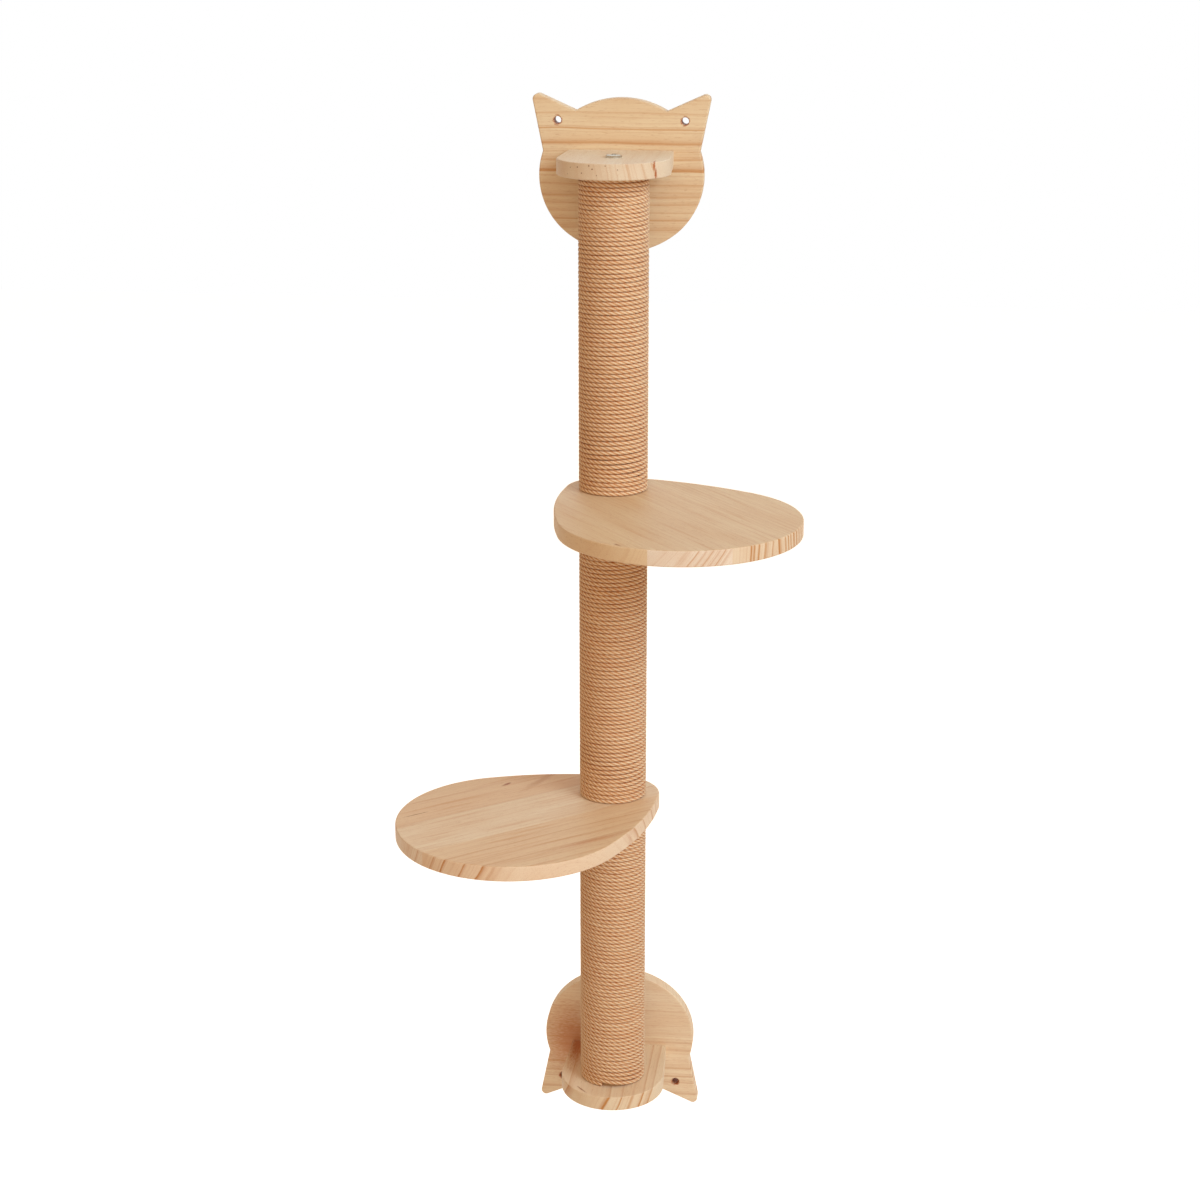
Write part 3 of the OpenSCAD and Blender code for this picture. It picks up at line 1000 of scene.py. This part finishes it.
@dataclass
class Rope:
    """Sizes of the jute rope and of its winding, in metres.

    Attributes:
        radius: Radius of the loose rope at the crests of its strands.
        groove: Radius of the rope between two strands.
        half_height: Half the height of a turn that its neighbours press.
        half_depth: How far a pressed turn reaches inwards from its middle.
        half_front: How far a taut turn reaches outwards from its middle.
        strands: Number of strands.
        lay: Length in which a strand goes once round the rope.
        rings_per_lay: Rings of the mesh in that length.
        turns: Turns of rope on a post.
        outer: Outer radius of the winding.
        level_share: Share of an end turn in which it climbs.
        easing_turns: Turns over which the climb spreads to a whole turn.
        gap: Room that the taut turns leave to the outer radius.
        thickness: Thickness as a share of the section's.
        uneven_height: How the rope wanders up and down.
        uneven_radius: How it wanders in and out.
        uneven_thickness: How its thickness changes.
        uneven_lay: How its twist changes, as a share.
    """

    radius: float = 2.75 * MM
    groove: float = 2.02 * MM
    half_height: float = 2.12 * MM
    half_depth: float = 2.1 * MM
    half_front: float = 2.35 * MM
    strands: int = 4
    lay: float = 22.5 * MM
    rings_per_lay: int = 12
    turns: int = 70
    outer: float = 33.0 * MM
    level_share: float = 0.12
    easing_turns: float = 14.0
    gap: float = 0.08 * MM
    thickness: float = 0.98
    uneven_height: Wander = Wander(0.12 * MM, 800, 0)
    uneven_radius: Wander = Wander(0.05 * MM, 400, 1)
    uneven_thickness: Wander = Wander(0.035, 900, 2)
    uneven_lay: Wander = Wander(0.09, 170, 3)

    @property
    def centre(self) -> float:
        """Radius on which the rope's middle runs."""
        return self.outer - self.half_front - self.gap

    @property
    def length(self) -> float:
        """Length of the rope on one post."""
        return 2 * math.pi * self.centre * (self.turns - self.level_share)

    def climbed(self, turn: np.ndarray) -> np.ndarray:
        """Works out how many pitches the rope has climbed.

        The end turns lie level on the boards and climb in a short stretch. Further in the
        climb spreads over the whole turn.

        Args:
            turn: Turns since the start.

        Returns:
            Pitches climbed.
        """
        inward = np.minimum(turn, self.turns - turn) / self.easing_turns
        share = np.clip(self.level_share + (1 - self.level_share) * inward, self.level_share, 1)
        whole = np.floor(turn)
        return whole + np.clip((turn - whole - (1 - share)) / share, 0, 1)


def pressed(distance: np.ndarray, limit: float) -> np.ndarray:
    """Presses distances softly into a limit.

    Args:
        distance: Distances from the middle.
        limit: The limit, which a crest just reaches.

    Returns:
        The pressed distances.
    """
    share = np.abs(distance) / (PRESS_LIMIT * limit)
    return distance / (1 + share ** PRESS_SHARPNESS) ** (1 / PRESS_SHARPNESS)


@dataclass
class Winding:
    """The jute winding of one post.

    Attributes:
        level: Which post it is.
        start: Direction of the rope's lower end, in degrees from x towards the wall.
        way: 1 where it climbs anticlockwise seen from above, -1 where it climbs clockwise.
        seed: Seed of its small unevenness.
        rope: Sizes of the rope.
    """

    level: Level
    start: float
    way: int
    seed: int
    rope: Rope = field(default_factory=Rope)

    @property
    def node(self) -> str:
        """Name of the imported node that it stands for."""
        return f"{self.level.value}_rope"

    def section(self) -> bpy.types.Object:
        """Makes the rope's section: round lobes with a groove between each two.

        Returns:
            A closed flat curve.
        """
        bpy.ops.curve.primitive_bezier_circle_add(radius=self.rope.radius)
        section = bpy.context.object
        section.data.splines.clear()
        spline = section.data.splines.new("POLY")
        count = POINTS_PER_STRAND * self.rope.strands
        spline.points.add(count - 1)
        for i, point in enumerate(spline.points):
            turn = 2 * math.pi * i / count
            radius = self.rope.radius if i % POINTS_PER_STRAND else self.rope.groove
            point.co = (radius * math.cos(turn), radius * math.sin(turn), 0, 1)
        spline.use_cyclic_u = True
        return section

    def path(self) -> tuple[np.ndarray, np.ndarray, np.ndarray]:
        """Lays the rope round the post.

        Returns:
            The points, the twist at each and the thickness at each.
        """
        low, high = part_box(self.node)
        rope = self.rope
        count = int(rope.length / rope.lay * rope.rings_per_lay)
        turn = np.linspace(0, rope.turns - rope.level_share, count)
        angle = math.radians(self.start) + self.way * 2 * math.pi * turn
        radius = rope.centre + rope.uneven_radius.along(count, self.seed)
        pitch = (high.z - low.z - 2 * rope.half_height) / (rope.turns - 1)
        inside = np.clip(np.minimum(turn, turn[-1] - turn), 0, 1)
        wander = rope.uneven_height.along(count, self.seed) * inside
        height = low.z + rope.half_height + pitch * rope.climbed(turn) + wander
        points = np.ones((count, 4))
        points[:, 0] = (low.x + high.x) / 2 + radius * np.cos(angle)
        points[:, 1] = POST_Y + radius * np.sin(angle)
        points[:, 2] = height
        step = (turn[1] - turn[0]) * 4 * math.pi ** 2 * rope.centre / rope.lay
        twist = np.cumsum(step * (1 + rope.uneven_lay.along(count, self.seed)))
        return points, twist, rope.thickness + rope.uneven_thickness.along(count, self.seed)

    def press(self, piece: bpy.types.Object, centres: np.ndarray, corners: int) -> None:
        """Presses the turns flat where they lie against each other and on the tube.

        Args:
            piece: The swept rope, ring by ring.
            centres: The middle of each ring.
            corners: Number of points of a ring.
        """
        places = np.empty(3 * len(piece.data.vertices))
        piece.data.vertices.foreach_get("co", places)
        places = places.reshape(-1, 3)
        own = centres.repeat(corners, axis=0)
        axis = np.array((0.0, POST_Y))
        out = own[:, :2] - axis
        middle = np.linalg.norm(out, axis=1)
        out /= middle[:, None]
        reach = ((places[:, :2] - axis) * out).sum(1) - middle
        inwards, outwards = pressed(reach, self.rope.half_depth), pressed(reach, self.rope.half_front)
        squashed = np.where(reach < 0, inwards, outwards)
        places[:, :2] += out * (squashed - reach)[:, None]
        rise = places[:, 2] - own[:, 2]
        places[:, 2] = own[:, 2] + pressed(rise, self.rope.half_height)
        piece.data.vertices.foreach_set("co", places.ravel())
        piece.data.update()

    def build(self) -> None:
        """Sweeps the twisted section along the path."""
        points, twist, thick = self.path()
        curve = bpy.data.curves.new(f"{self.node}_winding", "CURVE")
        curve.dimensions = "3D"
        curve.twist_mode = "Z_UP"
        spline = curve.splines.new("POLY")
        spline.points.add(len(points) - 1)
        spline.points.foreach_set("co", points.ravel())
        spline.points.foreach_set("tilt", twist)
        spline.points.foreach_set("radius", thick)
        section = self.section()
        curve.bevel_mode = "OBJECT"
        curve.bevel_object = section
        piece = bpy.data.objects.new(f"{self.node}_winding", curve)
        bpy.context.scene.collection.objects.link(piece)
        alone(piece)
        bpy.ops.object.convert(target="MESH")
        piece = bpy.context.object
        corners = len(section.data.splines[0].points)
        bpy.data.objects.remove(section)
        self.press(piece, points[:, :3], corners)
        bpy.ops.object.mode_set(mode="EDIT")
        bpy.ops.mesh.select_all(action="SELECT")
        bpy.ops.mesh.fill_holes(sides=0)
        bpy.ops.mesh.select_all(action="SELECT")
        bpy.ops.mesh.normals_make_consistent(inside=False)
        bpy.ops.object.mode_set(mode="OBJECT")
        bpy.ops.object.shade_smooth()
        rope = self.rope
        inner, outer = (rope.centre + share * rope.half_front for share in GROOVE_SHARES)
        finish = JuteFinish(f"{self.level.value} jute", rope.length, inner, outer, rope.strands)
        finish_piece(piece, finish.material(), Body.COLUMN, Slot.ROPE, self.node)


@dataclass
class WallPlate:
    """A cat-head wall plate with the bracket that stands on it.

    Attributes:
        level: Upper or lower end of the column.
        hole_z: Height of its wall holes.
        screw_z: Height of the screws that hold the bracket.
        plate_pine: Pine of the plate.
        bracket_pine: Pine of the bracket.
    """

    level: Level
    hole_z: float
    screw_z: float
    plate_pine: PineFinish
    bracket_pine: PineFinish

    def build(self) -> None:
        """Makes the plate and the bracket."""
        name = self.level.value
        plate = Board(f"{name}_wall_plate", Body.COLUMN, Slot.PLATE, self.plate_pine, Vector((0, 1, 0)))
        across = (-HOLE_X, -SCREW_X, SCREW_X, HOLE_X)
        heights = (self.hole_z, self.screw_z, self.screw_z, self.hole_z)
        plate.holes = [Vector((x, 0, z)) for x, z in zip(across, heights)]
        plate.cuts = [x + CUT_OFFSET for x in across]
        plate.build()
        bracket = Board(f"{name}_bracket", Body.COLUMN, Slot.BRACKET, self.bracket_pine, Vector((0, 0, 1)))
        bracket.ease = 1.2 * MM
        bracket.holes = [Vector((0, POST_Y, 0))]
        bracket.build()


@dataclass
class Shelf:
    """An egg-shaped shelf.

    Attributes:
        level: Upper or lower shelf.
        body: The body that it rides on.
        pine: Its pine.
    """

    level: Level
    body: Body
    pine: PineFinish

    def build(self) -> None:
        """Makes the shelf."""
        board = Board(f"{self.level.value}_shelf", self.body, Slot.SHELF, self.pine, Vector((0, 0, 1)))
        board.holes = [Vector((0, POST_Y, 0))]
        board.build()


@dataclass
class Hardware:
    """The bolts, studs, inserts and screws, and the posts' inner parts.

    Attributes:
        steel: Finish of the steel parts.
        kraft: Finish of the tubes.
        plug_pine: Finish of the plugs.
    """

    steel: ZincFinish
    kraft: KraftFinish
    plug_pine: PineFinish

    def build(self) -> None:
        """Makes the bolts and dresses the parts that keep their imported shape."""
        steel = self.steel.material()
        kraft = self.kraft.material()
        plug = self.plug_pine.material()
        for level in (Level.UPPER, Level.LOWER):
            name = level.value
            bolt = copied_node(f"{name}_end_bolt", f"{name}_flat_bolt")
            bpy.ops.object.shade_smooth_by_angle(angle=SMOOTH_BELOW)
            finish_piece(bolt, steel, Body.COLUMN, Slot.STEEL, f"{name}_end_bolt")
            dress_node(f"{name}_bracket_screws", steel)
            dress_node(f"{name}_shelf_stud", steel)
        for level in Level:
            dress_node(f"{level.value}_post_tube", kraft)
            for end in ("top", "bottom"):
                dress_node(f"{level.value}_post_{end}_plug", plug)
                dress_node(f"{level.value}_post_{end}_insert", steel)


@dataclass(frozen=True)
class Lamp:
    """A large soft lamp.

    Attributes:
        name: Its name.
        place: Where it hangs.
        size: Width of its square face in metres.
        power: Its power in watts.
        tint: Colour of its light.
    """

    name: str
    place: tuple[float, float, float]
    size: float
    power: float
    tint: Colour

    def hang(self, aim: Vector) -> None:
        """Hangs the lamp.

        Args:
            aim: The point that it faces.
        """
        data = bpy.data.lights.new(self.name, "AREA")
        data.size = self.size
        data.energy = self.power
        data.color = self.tint[:3]
        lamp = bpy.data.objects.new(self.name, data)
        lamp.location = self.place
        lamp.rotation_euler = (aim - lamp.location).to_track_quat("-Z", "Y").to_euler()
        bpy.context.scene.collection.objects.link(lamp)


@dataclass
class Studio:
    """Camera, lamps, white surround and floor.

    Attributes:
        eye: Where the camera stands, in metres.
        forward: Where it looks.
        up: Its upward direction.
        lens: Focal length in millimetres.
        frame_width: Width of the frame that the lens stands for, in millimetres.
        middle: The point that the lamps face.
        lamps: The lamps.
        ambient: Strength of the surround on the object.
        ambient_tint: Colour of that light.
        floor_z: Height of the floor.
        floor_size: Width of the floor.
        floor_glow: How far the floor shines where it is seen, which keeps it pale.
    """

    eye: tuple[float, float, float] = (0.2284, -2.1723, 0.2072)
    forward: tuple[float, float, float] = (-0.10926, 0.94843, -0.29756)
    up: tuple[float, float, float] = (-0.03349, 0.29567, 0.95470)
    lens: float = 68.51
    frame_width: float = 36.0
    middle: tuple[float, float, float] = (0, -0.1, -0.5)
    lamps: tuple[Lamp, ...] = (
        Lamp("key", (2.1, -1.75, 1.35), 1.5, 61.0, (0.67, 0.86, 1.0, 1)),
        Lamp("fill", (0.6, -2.8, 0.5), 2.0, 17.08, (1.0, 0.84, 0.68, 1)),
        Lamp("back", (-0.3, 2.2, 1.5), 2.0, 12.2, (0.67, 0.86, 1.0, 1)),
    )
    ambient: float = 0.52
    ambient_tint: Colour = (1.0, 0.68, 0.42, 1)
    floor_z: float = -1.75
    floor_size: float = 14.0
    floor_glow: float = 0.8

    def camera(self) -> None:
        """Sets the camera that matches the photograph."""
        data = bpy.data.cameras.new("camera")
        data.lens = self.lens
        data.sensor_width = self.frame_width
        data.sensor_fit = "HORIZONTAL"
        camera = bpy.data.objects.new("camera", data)
        forward, up = Vector(self.forward), Vector(self.up)
        right = forward.cross(up).normalized()
        turn = Matrix((right, up, -forward)).transposed().to_4x4()
        camera.matrix_world = Matrix.Translation(self.eye) @ turn
        bpy.context.scene.collection.objects.link(camera)
        bpy.context.scene.camera = camera

    def surround(self) -> None:
        """Makes the world: white where it is seen, soft light on the object."""
        world = bpy.data.worlds.new("surround")
        world.use_nodes = True
        bpy.context.scene.world = world
        world.node_tree.nodes.clear()
        bench = NodeBench(world.node_tree)
        soft = bench.add("Background", {"Color": self.ambient_tint, "Strength": self.ambient})
        white = bench.add("Background", {"Color": grey(1.0)})
        mix = bench.add("MixShader", (bench.seen_directly(), soft.outputs[0], white.outputs[0]))
        bench.add("OutputWorld", {"Surface": mix.outputs[0]})

    def floor(self) -> None:
        """Lays a plain pale floor that keeps the object's soft shadow."""
        bpy.ops.object.select_all(action="DESELECT")
        bpy.ops.mesh.primitive_plane_add(size=self.floor_size, location=(0, 2, self.floor_z))
        floor = bpy.context.object
        floor.name = "studio_floor"
        material = bpy.data.materials.new("studio floor")
        material.use_nodes = True
        material.node_tree.nodes.clear()
        bench = NodeBench(material.node_tree)
        matte = bench.add("BsdfDiffuse", {"Color": grey(0.86)})
        shine = bench.maths("MULTIPLY", bench.seen_directly(), self.floor_glow)
        glow = bench.add("Emission", {"Color": grey(1.0), "Strength": shine})
        both = bench.add("AddShader", (matte.outputs[0], glow.outputs[0]))
        bench.add("OutputMaterial", {"Surface": both.outputs[0]})
        floor.data.materials.append(material)

    def build(self) -> None:
        """Sets up the whole studio."""
        self.camera()
        self.surround()
        for lamp in self.lamps:
            lamp.hang(Vector(self.middle))
        self.floor()
        bpy.context.scene.view_settings.view_transform = "Standard"


def wall_hole_shade(across: float) -> tuple[Mark, ...]:
    """Paints brown shade on the drilled walls of a plate's two wall holes and just round their mouths.

    Args:
        across: Where the holes lie across the plate, in millimetres.

    Returns:
        A mark for each hole.
    """
    hole_shade = srgb(172, 92, 42)
    # Painted shade: the holes' walls and mouths are browned as if the recess lay in shade.
    return tuple(Mark(side * HOLE_X / MM, across, 4.9, 4.9, 0, 2.4, 0.0, hole_shade) for side in (-1, 1))


def specks(*spots: tuple[float, float, float]) -> tuple[Mark, ...]:
    """Scatters resin specks over a bracket's rounded front.

    Args:
        *spots: Each speck's place across the board and through it and half its width, in millimetres.

    Returns:
        A mark for each speck.
    """
    dark = srgb(128, 84, 52)
    front, reach = 46, 14
    return tuple(Mark(front, y, reach, half, 0, 1.2, 0.0, dark, z, 0.9) for y, z, half in spots)


UPPER_PLATE_PINE = PineFinish(
    name="upper plate pine",
    place=(0, -0.0075, -0.05),
    turn=(90, 0, 0),
    lines=laid(
        (71.6, -5, 0.3), (57.4, 3, 0.28), (43.6, 3, 0.65), (36, 5, 0.12), (29.8, 7, 0.9),
        (22.3, 3, 0.25), (14, 7, 0.55), (3, 9, 0.85), (-8.8, 5, 0.4), (-18.9, 6, 0.55),
        (-25.6, 4, 0.45), (-33, 4, 0.35), (-40.6, 6, 0.45), (-49.8, 6, 0.4),
    ),
    # Painted shade in and round the wall holes.
    marks=wall_hole_shade(50.0),
    slant=0.15,
    ring_width=3.6,
    ring_depth=0.26,
)
LOWER_PLATE_PINE = PineFinish(
    name="lower plate pine",
    place=(0, -0.0075, -0.952),
    turn=(90, 0, 0),
    pale=srgb(244, 228, 200),
    lines=laid(
        (4, 5, 0.25), (-4, 4, 0.4), (-12, 4, 0.4), (-33, 8, 0.55), (-43, 6, 0.5), (-50, 5, 0.4),
        (-63, 6, 0.4),
    ),
    # Painted shade: besides the holes' shade, a large warm brown patch on the front of the left half stands
    # in for the shade beside the post.
    marks=(*wall_hole_shade(-50.0), Mark(-50, -8, 38, 52, 0, 0.75, 0.0, srgb(190, 116, 60), 7.5, 13.0)),
    slant=0.15,
    ring_width=2.6,
    ring_depth=0.26,
)
UPPER_BRACKET_PINE = PineFinish(
    name="upper bracket pine",
    place=(0, POST_Y, UPPER_SCREW_Z),
    turn=(0, 0, -90),
    pale=srgb(231, 215, 190),
    # Painted light: brighter, cooler broad faces, as if lit more from above.
    face_tone_and_light=(1.08, 1.14, 1.2, 1),
    streak_depth=0.1,
    lines=laid((2, 3, 0.12), (17, 3, 0.3), (31, 2.4, 0.4), (40, 1.6, 1.0)),
    marks=(
        *specks(
            (-38, -3.4, 0.8), (-35, 2.6, 0.7), (-28, 3.6, 0.7), (-24, -1.5, 0.6), (-17, 5.2, 0.8),
            (-14, 2.4, 1.0), (-10, -3.0, 0.6), (-2, 5.6, 0.7), (9, 2.2, 0.7),
        ),
        Mark(30, 40, 12, 1.3, 0, 1.3, 0.0, srgb(176, 98, 44), 4.5, 6.0),
        Mark(30, 41.4, 12, 1.2, 0, 1.2, 0.0, srgb(170, 92, 42), -3.0, 6.0),
    ),
    slant=0.22,
    ring_width=5.0,
    ring_depth=0.16,
    face_depth=0.3,
)
LOWER_BRACKET_PINE = PineFinish(
    name="lower bracket pine",
    place=(0, POST_Y, LOWER_SCREW_Z),
    turn=(0, 0, -90),
    pale=srgb(238, 221, 192),
    streak_depth=0.15,
    lines=laid(
        (-44, 9, 0.9), (-2, -5, 0.9), (11.5, -2.0, 0.85), (23, -2.0, 0.85), (33.5, -2.6, 0.85),
        (42, -6, 0.75),
    ),
    marks=(
        Mark(38.5, -28, 10, 1.3, 41, 0.85),
        # Painted shade: a long warm brown band along the bracket's left side stands in for the shade there.
        Mark(-58, -43, 62, 11, 0, 0.9, 0.0, srgb(180, 104, 56)),
    ),
    slant=-0.42,
    ring_width=5.0,
    ring_depth=0.16,
    face_depth=0.6,
)
UPPER_SHELF_PINE = PineFinish(
    name="upper shelf pine",
    place=(0, POST_Y, -0.3455),
    turn=(0, 0, -53.5),
    pale=srgb(240, 223, 198),
    streak_depth=0.3,
    lines=laid(
        (-56, 3.6, 0.2), (-49, 3.6, 0.3), (-43, 3.6, 0.34), (-37, 3.6, 0.4), (-31, 3.2, 0.4),
        (-25.5, 3.2, 0.42), (-20, 3.2, 0.36), (3.6, 2.2, 0.9), (6.6, 2.2, 1.0), (11.6, 2.6, 0.9),
        (19, 6.0, 0.5), (28.5, 2.4, 0.4), (36.5, 5.5, 0.8), (46, 2.4, 0.8), (50.5, 2.2, 0.9),
        (55, 2.4, 0.8), (60, 2.6, 0.95), (65, 2.6, 0.8), (70.5, 2.8, 0.9), (76.5, 3.0, 0.85),
        (83, 3.2, 0.8),
    ),
    marks=(Mark(171, -96, 6, 2.2, 8, 0.8),),
    staves=(
        Stave(-130.0, srgb(246, 238, 222), -0.3),
        Stave(-82.0, (0.99, 1.02, 1.1, 1), -0.75),
        Stave(-16.0, srgb(248, 245, 240), -0.08),
        Stave(33.0, srgb(250, 248, 243), 0.1),
    ),
    stave_faces=0.15,
    wave=1.0,
    ring_width=3.2,
    ring_depth=0.22,
    # Partly the broad faces' own tone, partly painted shade: darker and warmer than the edges.
    face_tone_and_light=(0.89, 0.833, 0.712, 1),
    face_depth=0.3,
)
LOWER_SHELF_PINE = PineFinish(
    name="lower shelf pine",
    place=(0, POST_Y, -0.6565),
    turn=(0, 0, -141.5),
    pale=srgb(245, 233, 217),
    streak_depth=0.42,
    lines=laid(
        (-84, 10, 0.5), (-35, -16, 0.5), (6, 10, 0.2), (21, 3, 0.4), (42, 3, 0.5), (54, 2.4, 0.9),
        (71, 3, 0.6), (84, 5, 0.9), (91, 8, 0.4),
    ),
    marks=(
        Mark(192, -52.4, 17, 0.8, 0, 1.2),
        Mark(79, -74, 7.5, 2.6, 12, 1.1, colour=srgb(158, 90, 56)),
        Mark(44, -65, 42, 5.5, 26, 0.5, 0.0, srgb(186, 130, 84)),
        Mark(80, 91, 56, 3.6, 0, 0.55, 0.0, srgb(190, 124, 84)),
    ),
    staves=(
        Stave(-130.0, srgb(251, 240, 227), -0.42),
        Stave(-35.0, srgb(255, 254, 250), -0.42),
        Stave(30.0, srgb(250, 240, 226), -0.42),
    ),
    ring_width=3.4,
    ring_depth=0.2,
    # Partly the broad faces' own tone, partly painted shade: darker and warmer than the edges.
    face_tone_and_light=(0.92, 0.873, 0.773, 1),
    face_depth=0.45,
)
PLUG_PINE = PineFinish(
    name="plug pine",
    place=(0, POST_Y, 0),
    turn=(0, 90, 0),
    pale=srgb(226, 196, 156),
    ring_width=2.4,
    ring_depth=0.5,
)


def main() -> None:
    """Builds the scene piece by piece."""
    logging.basicConfig(level=logging.INFO, format="%(message)s")
    Studio().build()
    WallPlate(Level.UPPER, UPPER_HOLE_Z, UPPER_SCREW_Z, UPPER_PLATE_PINE, UPPER_BRACKET_PINE).build()
    WallPlate(Level.LOWER, LOWER_HOLE_Z, LOWER_SCREW_Z, LOWER_PLATE_PINE, LOWER_BRACKET_PINE).build()
    Winding(Level.UPPER, 90.0, 1, 11).build()
    Winding(Level.MIDDLE, 90.0, 1, 23).build()
    Winding(Level.LOWER, -104.0, -1, 37).build()
    Shelf(Level.UPPER, Body.UPPER_SHELF, UPPER_SHELF_PINE).build()
    Shelf(Level.LOWER, Body.LOWER_SHELF, LOWER_SHELF_PINE).build()
    Hardware(ZincFinish(), KraftFinish(), PLUG_PINE).build()


if __name__ == "__main__":
    main()
